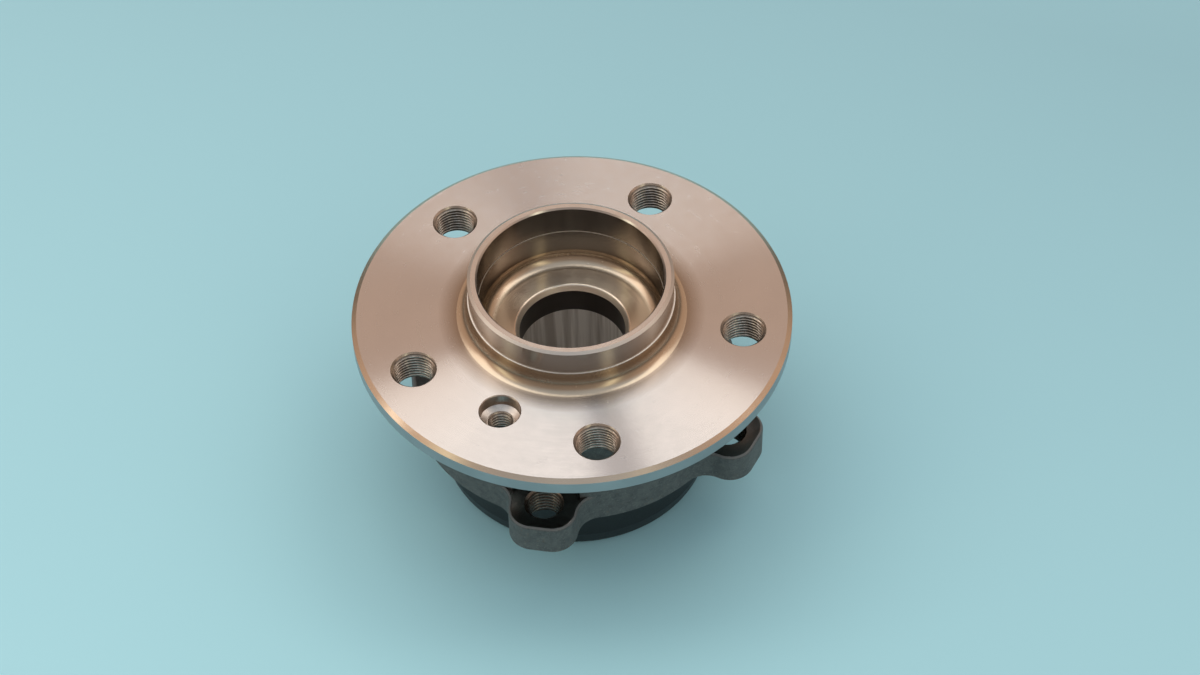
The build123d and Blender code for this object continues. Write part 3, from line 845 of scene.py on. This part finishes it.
def paint_nodes():
    """The finishes of all CAD nodes that stay as they are."""
    paint_node("outer_ring", forged_steel())
    paint_node("protective_cover", black_plastic())
    pressed = turned_steel("pressed_steel", (0.62, 0.61, 0.60, 1), 0.3, 0.3, 4.0, 0.1, 0.2)
    ground = turned_steel("ground_race", (0.66, 0.66, 0.67, 1), 0.18, 0.4, 8.0, 0.05, 0.1)
    rubber = seal_rubber("lip_rubber", (0.018, 0.018, 0.019, 1))
    magnet = seal_rubber("magnet_rubber", (0.040, 0.033, 0.030, 1))
    nylon = cage_nylon()
    ball = ball_steel()
    for node in ("outboard_seal_case", "inboard_seal_case", "slinger", "dust_cap"):
        paint_node(node, pressed)
    for node in ("outboard_seal_lips", "inboard_seal_lips"):
        paint_node(node, rubber)
    for node in ("outboard_cage", "inboard_cage"):
        paint_node(node, nylon)
    paint_node("inboard_inner_ring", ground)
    paint_node("encoder_ring", magnet)
    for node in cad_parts:
        if "_ball_" in node:
            paint_node(node, ball)


# ------------------------------------------------------------------ stage
def make_camera():
    """The camera, looking from where the object's own ellipses say."""
    data = bpy.data.cameras.new("camera")
    data.lens = LENS_MM
    data.sensor_width = SENSOR_MM
    camera = bpy.data.objects.new("camera", data)
    bpy.context.collection.objects.link(camera)
    axes = Matrix((CAMERA_RIGHT, CAMERA_UP, CAMERA_BACK)).transposed()
    camera.matrix_world = Matrix.Translation(Vector(CAMERA_AT) * MM) @ axes.to_4x4()
    bpy.context.scene.camera = camera


def make_floor():
    """A pale floor that fills the view, darkening along one direction as a painted fall-off of light."""
    signs = ((-1, -1), (1, -1), (1, 1), (-1, 1))
    corners = [(x * FLOOR_SIZE, y * FLOOR_SIZE, FLOOR_Z) for x, y in signs]
    floor = new_object("floor", corners, [(0, 1, 2, 3)])
    n = Finish("floor_card")
    # painted shade: the floor darkens along one direction, as light falls off
    painted_falloff = n.map(n.dot(n.place(), FLOOR_FADE), FLOOR_FADE_FROM * MM, FLOOR_FADE_TO * MM, 0, 1)
    cloud = n.math("MULTIPLY", n.noise(n.place(), 3.0, 2.0), 0.12)
    tone = n.mix(n.math("ADD", painted_falloff, cloud, True), FLOOR_LIGHT, FLOOR_DARK)
    floor.data.materials.append(n.shade(Base_Color=tone, Roughness=0.75))


def make_softboxes():
    """Two wide softboxes beyond the object that rise along the line in which the face mirrors the
    view, so their sides draw the straight edges of the bright sectors."""
    level = Vector((cos(radians(VIEW_AZ)), sin(radians(VIEW_AZ)), 0))
    left = Vector((-level.y, level.x, 0))
    up = Vector((0, 0, 1))
    slope = level * cos(radians(VIEW_EL)) + up * sin(radians(VIEW_EL))
    off = up * cos(radians(VIEW_EL)) - level * sin(radians(VIEW_EL))
    turn = Matrix((slope, left, off)).transposed().to_4x4()
    for left_side, right_side in SOFTBOX_SIDES:
        data = bpy.data.lights.new("softbox", "AREA")
        data.shape = "RECTANGLE"
        data.size = (SOFTBOX_END - SOFTBOX_START) * MM
        data.size_y = (left_side - right_side) * MM
        data.energy = SOFTBOX_RADIANCE * pi * data.size * data.size_y
        data.color = SOFTBOX_COLOUR
        lamp = bpy.data.objects.new("softbox", data)
        bpy.context.collection.objects.link(lamp)
        middle = (
            slope * (SOFTBOX_END + SOFTBOX_START) / 2
            + left * (left_side + right_side) / 2
            + off * SOFTBOX_OFF
        )
        lamp.matrix_world = Matrix.Translation(middle * MM) @ turn


def azimuth_mask(n, level, azimuth, inner, outer):
    """1 within inner degrees of an azimuth, falling to 0 at outer degrees."""
    dot = n.dot(level, (cos(radians(azimuth)), sin(radians(azimuth)), 0))
    return n.map(dot, cos(radians(outer)), cos(radians(inner)), 0, 1)


def make_world():
    """A room round the softboxes: brown walls, darker behind the camera, with two tall windows.

    What is matt is lit by walls of one cool tone, so that the floor's shadow stays blue.
    """
    world = bpy.data.worlds.new("room")
    bpy.context.scene.world = world
    world.use_nodes = True
    n = Nodes(world.node_tree)
    direction = n.tree.nodes.new("ShaderNodeTexCoord").outputs["Generated"]
    x, y, z = n.add("ShaderNodeSeparateXYZ", Vector=direction).outputs
    normalise = n.tree.nodes.new("ShaderNodeVectorMath")
    normalise.operation = "NORMALIZE"
    n.set(normalise.inputs[0], n.add("ShaderNodeCombineXYZ", X=x, Y=y).outputs[0])
    level = normalise.outputs[0]
    tone = n.mix(azimuth_mask(n, level, VIEW_AZ, 25, 60), SIDE_WALL, FAR_WALL)
    tone = n.mix(azimuth_mask(n, level, VIEW_AZ + 180, 45, 80), tone, NEAR_WALL)
    matt = n.tree.nodes.new("ShaderNodeLightPath").outputs["Is Diffuse Ray"]
    tone = n.mix(matt, tone, SHADE)
    tone = n.mix(n.map(z, *LOW_WALL_Z, 0, 1), LOW_WALL, tone)
    tone = n.mix(n.map(z, *CEILING_Z, 0, 1), tone, CEILING)
    tall = n.math("MULTIPLY", n.map(z, *WINDOW_FOOT_Z, 0, 1), n.map(z, *WINDOW_HEAD_Z, 1, 0))
    for azimuth, half_width in WINDOWS:
        mask = azimuth_mask(n, level, azimuth, half_width - WINDOW_EDGE, half_width + WINDOW_EDGE)
        tone = n.mix(n.math("MULTIPLY", mask, tall), tone, WINDOW)
    n.tree.links.new(tone, n.tree.nodes["Background"].inputs["Color"])


# ------------------------------------------------------------------ build
def hub_finishes():
    """The finish of each band of the hub, under the names that hub_finish gives."""
    # name, colour, roughness, spread, grooves, relief and stain of each
    return {
        "face": turned_steel(
            "turned_face", FACE_TONE, 0.25, 1.0, 3.0, 0.01, 0.04, scratched=0.4, ramp=FACE_PAINTED_RAMP, lean=0.055
        ),
        "land": turned_steel("ground_land", (0.70, 0.66, 0.62, 1), 0.22, 0.5, 4.0, 0.08, 0.08),
        "pilot": turned_steel("ground_pilot", (0.47, 0.42, 0.37, 1), 0.24, 0.5, 4.0, 0.08, 0.08),
        "drilled": tapped_steel("drilled_steel", (0.66, 0.60, 0.55, 1), 0.32),
        "lip": turned_steel("bore_lip", (1.0, 0.93, 0.82, 1), 0.38, 0.3, 4.0, 0.05, 0.05),
        "bevel": turned_steel("flange_bevel", (0.68, 0.57, 0.45, 1), 0.24, 0.3, 4.0, 0.05, 0.08),
        # painted highlight: the small steps of pilot and recess are coloured near white to show as a bright
        # line
        "line": turned_steel("step_painted_highlight", (1.0, 0.98, 0.94, 1), 0.55, 0.3, 4.0, 0.05, 0.05),
        # turned steel, tinted golden brown as painted reflection, carrying on the face's painted ramp
        "foot": turned_steel("turned_foot_painted_tint", (0.56, 0.46, 0.35, 1), 0.25, 0.5, 3.0, 0.02, 0.08),
        "edge": turned_steel("rim_edge", (0.62, 0.57, 0.52, 1), 0.42, 0.3, 4.0, 0.05, 0.05),
        # painted shade: the recess wall's ground steel is coloured much darker than outside the recess
        "recess": turned_steel("ground_recess_painted_shade", (0.26, 0.23, 0.20, 1), 0.2, 0.5, 4.0, 0.08, 0.1),
        "floor": turned_steel(
            "turned_floor", (0.66, 0.57, 0.46, 1), 0.22, 1.0, 3.0, 0.015, 0.04, lean=0.04
        ),
        "mouth": turned_steel("dark_mouth", (0.10, 0.09, 0.085, 1), 0.4, 0.2, 3.0, 0.1, 0.15),
        "bore": bore_painted_streaks(),
        "rim": turned_steel("turned_rim", (0.42, 0.41, 0.42, 1), 0.35, 0.3, 3.0, 0.15, 0.15),
        "back": turned_steel("turned_back", (0.46, 0.44, 0.42, 1), 0.42, 0.5, 2.0, 0.2, 0.25),
    }


def thread_finishes():
    """Finishes of crest and root, first for the flange's clean threads, then darker copies for the lugs'
    threads as painted shade under the flange.
    """
    clean = (
        tapped_steel("thread_crest", (0.62, 0.56, 0.50, 1), 0.30),
        # painted shade: the roots are coloured darker than the crests
        tapped_steel("thread_root", (0.27, 0.24, 0.21, 1), 0.42),
    )
    # painted shade: darker copies of the thread finishes, for the lugs' holes under the flange
    darkened = (
        tapped_steel("shaded_crest", (0.23, 0.21, 0.19, 1), 0.28),
        # painted shade: the roots are coloured darker than the crests
        tapped_steel("shaded_root", (0.10, 0.09, 0.08, 1), 0.4),
    )
    return clean, darkened


make_camera()
make_hub(hub_finishes())
clean_threads, shaded_lug_threads = thread_finishes()
make_hub_threads(clean_threads)
make_knuckle_threads(shaded_lug_threads)
paint_nodes()
make_floor()
make_softboxes()
make_world()

bpy.context.scene.view_settings.view_transform = "Standard"
